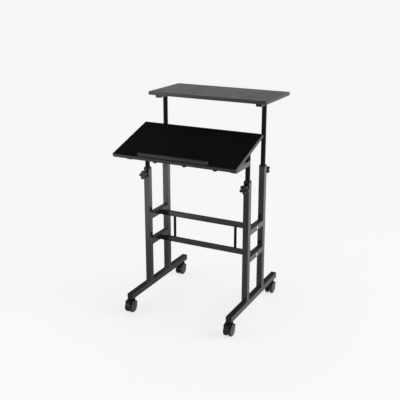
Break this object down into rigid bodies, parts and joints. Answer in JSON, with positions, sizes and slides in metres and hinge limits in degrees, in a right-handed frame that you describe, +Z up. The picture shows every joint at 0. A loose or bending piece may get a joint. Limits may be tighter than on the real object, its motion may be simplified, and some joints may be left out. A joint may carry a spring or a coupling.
{
  "type": "mobile laptop desk",
  "caption": "Rolling two-tier laptop desk with a tilting front desktop and a raised rear shelf on telescoping posts with clamping knobs and a steel frame on twin-wheel casters.",
  "frame": {"origin": "on the floor, under the middle of the whole desk", "axes": "+Z up, +X to the user's right, -Y towards the user, so +Y to the rear"},
  "size_m": [0.6, 0.6126, 1.013],
  "materials": {
    "frame": "black powder coat, satin",
    "slide_tube": "black powder coat, smooth satin",
    "board": "black laminate on fibreboard, satin",
    "trim": "black moulded plastic, fine grain",
    "stop": "black laminate strip, satin",
    "knob": "black moulded plastic, fine grain",
    "wheel": "black nylon, slightly glossy",
    "zinc": "zinc-plated steel"
  },
  "bodies": {
    "base": {"foot_left": "frame", "foot_right": "frame", "foot_plugs": "trim", "front_post_left": "frame", "front_post_right": "frame", "rear_post_left": "frame", "rear_post_right": "frame", "rungs_left": "frame", "rungs_right": "frame", "crossbar_upper": "frame", "crossbar_lower": "frame", "rods": "frame", "crossbar_bolts": "zinc", "post_bushings": "trim", "caster_stems": "zinc"},
    "desk_carriage": {"desk_post_left": "slide_tube", "desk_post_right": "slide_tube", "desk_arm_left": "frame", "desk_arm_right": "frame", "arm_plugs": "trim", "desk_rail": "frame", "cord_pegs": "trim", "pivot_bolts": "zinc"},
    "tilting_top": {"desktop": "board", "desk_stop": "stop", "tilt_bracket_left": "frame", "tilt_bracket_right": "frame", "desktop_screws": "zinc"},
    "shelf_carriage": {"shelf_post_left": "slide_tube", "shelf_post_right": "slide_tube", "shelf_bracket_left": "frame", "shelf_bracket_right": "frame", "bracket_plugs": "trim", "shelf": "board", "shelf_screws": "zinc"},
    "desk_knob_left": {"desk_knob_left": "knob"},
    "shelf_knob_left": {"shelf_knob_left": "knob"},
    "tilt_knob_left": {"tilt_knob_left": "knob"},
    "desk_knob_right": {"desk_knob_right": "knob"},
    "shelf_knob_right": {"shelf_knob_right": "knob"},
    "tilt_knob_right": {"tilt_knob_right": "knob"},
    "caster_fl": {"caster_fl": "trim", "axle_fl": "zinc"},
    "wheel_fl_a": {"wheel_fl_a": "wheel"},
    "wheel_fl_b": {"wheel_fl_b": "wheel"},
    "brake_fl": {"brake_fl": "trim"},
    "caster_fr": {"caster_fr": "trim", "axle_fr": "zinc"},
    "wheel_fr_a": {"wheel_fr_a": "wheel"},
    "wheel_fr_b": {"wheel_fr_b": "wheel"},
    "brake_fr": {"brake_fr": "trim"},
    "caster_rl": {"caster_rl": "trim", "axle_rl": "zinc"},
    "wheel_rl_a": {"wheel_rl_a": "wheel"},
    "wheel_rl_b": {"wheel_rl_b": "wheel"},
    "caster_rr": {"caster_rr": "trim", "axle_rr": "zinc"},
    "wheel_rr_a": {"wheel_rr_a": "wheel"},
    "wheel_rr_b": {"wheel_rr_b": "wheel"}
  },
  "joints": [
    {"name": "desk_height", "type": "slide", "parent": "base", "child": "desk_carriage", "axis": [0, 0, 1], "range_m": [-0.06, 0.25]},
    {"name": "desk_tilt", "type": "hinge", "parent": "desk_carriage", "child": "tilting_top", "pos_m": [0, -0.08068, 0.819], "axis": [1, 0, 0], "range_deg": [-18, 6]},
    {"name": "shelf_height", "type": "slide", "parent": "base", "child": "shelf_carriage", "axis": [0, 0, 1], "range_m": [-0.27, 0.2]},
    {"name": "desk_knob_left_turn", "type": "hinge", "parent": "base", "child": "desk_knob_left", "pos_m": [-0.257, -0.10068, 0.639], "axis": [0, -1, 0], "range_deg": [0, 540]},
    {"name": "shelf_knob_left_turn", "type": "hinge", "parent": "base", "child": "shelf_knob_left", "pos_m": [-0.257, 0.11532, 0.671], "axis": [0, 1, 0], "range_deg": [0, 540]},
    {"name": "tilt_knob_left_turn", "type": "hinge", "parent": "desk_carriage", "child": "tilt_knob_left", "pos_m": [-0.23, -0.14068, 0.7545], "axis": [1, 0, 0], "range_deg": [0, 540]},
    {"name": "desk_knob_right_turn", "type": "hinge", "parent": "base", "child": "desk_knob_right", "pos_m": [0.257, -0.10068, 0.639], "axis": [0, -1, 0], "range_deg": [0, 540]},
    {"name": "shelf_knob_right_turn", "type": "hinge", "parent": "base", "child": "shelf_knob_right", "pos_m": [0.257, 0.11532, 0.671], "axis": [0, 1, 0], "range_deg": [0, 540]},
    {"name": "tilt_knob_right_turn", "type": "hinge", "parent": "desk_carriage", "child": "tilt_knob_right", "pos_m": [0.23, -0.14068, 0.7545], "axis": [-1, 0, 0], "range_deg": [0, 540]},
    {"name": "swivel_fl", "type": "hinge", "parent": "base", "child": "caster_fl", "pos_m": [-0.257, -0.23868, 0.055], "axis": [0, 0, 1], "continuous": true},
    {"name": "spin_fl_a", "type": "hinge", "parent": "caster_fl", "child": "wheel_fl_a", "pos_m": [-0.257, -0.25768, 0.028], "axis": [1, 0, 0], "continuous": true},
    {"name": "spin_fl_b", "type": "hinge", "parent": "caster_fl", "child": "wheel_fl_b", "pos_m": [-0.257, -0.25768, 0.028], "axis": [1, 0, 0], "continuous": true},
    {"name": "brake_fl_press", "type": "hinge", "parent": "caster_fl", "child": "brake_fl", "pos_m": [-0.257, -0.28095, 0.05573], "axis": [1, 0, 0], "range_deg": [0, 9]},
    {"name": "swivel_fr", "type": "hinge", "parent": "base", "child": "caster_fr", "pos_m": [0.257, -0.23868, 0.055], "axis": [0, 0, 1], "continuous": true},
    {"name": "spin_fr_a", "type": "hinge", "parent": "caster_fr", "child": "wheel_fr_a", "pos_m": [0.257, -0.25768, 0.028], "axis": [1, 0, 0], "continuous": true},
    {"name": "spin_fr_b", "type": "hinge", "parent": "caster_fr", "child": "wheel_fr_b", "pos_m": [0.257, -0.25768, 0.028], "axis": [1, 0, 0], "continuous": true},
    {"name": "brake_fr_press", "type": "hinge", "parent": "caster_fr", "child": "brake_fr", "pos_m": [0.257, -0.28095, 0.05573], "axis": [1, 0, 0], "range_deg": [0, 9]},
    {"name": "swivel_rl", "type": "hinge", "parent": "base", "child": "caster_rl", "pos_m": [-0.257, 0.25332, 0.055], "axis": [0, 0, 1], "continuous": true},
    {"name": "spin_rl_a", "type": "hinge", "parent": "caster_rl", "child": "wheel_rl_a", "pos_m": [-0.257, 0.23432, 0.028], "axis": [1, 0, 0], "continuous": true},
    {"name": "spin_rl_b", "type": "hinge", "parent": "caster_rl", "child": "wheel_rl_b", "pos_m": [-0.257, 0.23432, 0.028], "axis": [1, 0, 0], "continuous": true},
    {"name": "swivel_rr", "type": "hinge", "parent": "base", "child": "caster_rr", "pos_m": [0.257, 0.25332, 0.055], "axis": [0, 0, 1], "continuous": true},
    {"name": "spin_rr_a", "type": "hinge", "parent": "caster_rr", "child": "wheel_rr_a", "pos_m": [0.257, 0.23432, 0.028], "axis": [1, 0, 0], "continuous": true},
    {"name": "spin_rr_b", "type": "hinge", "parent": "caster_rr", "child": "wheel_rr_b", "pos_m": [0.257, 0.23432, 0.028], "axis": [1, 0, 0], "continuous": true}
  ]
}
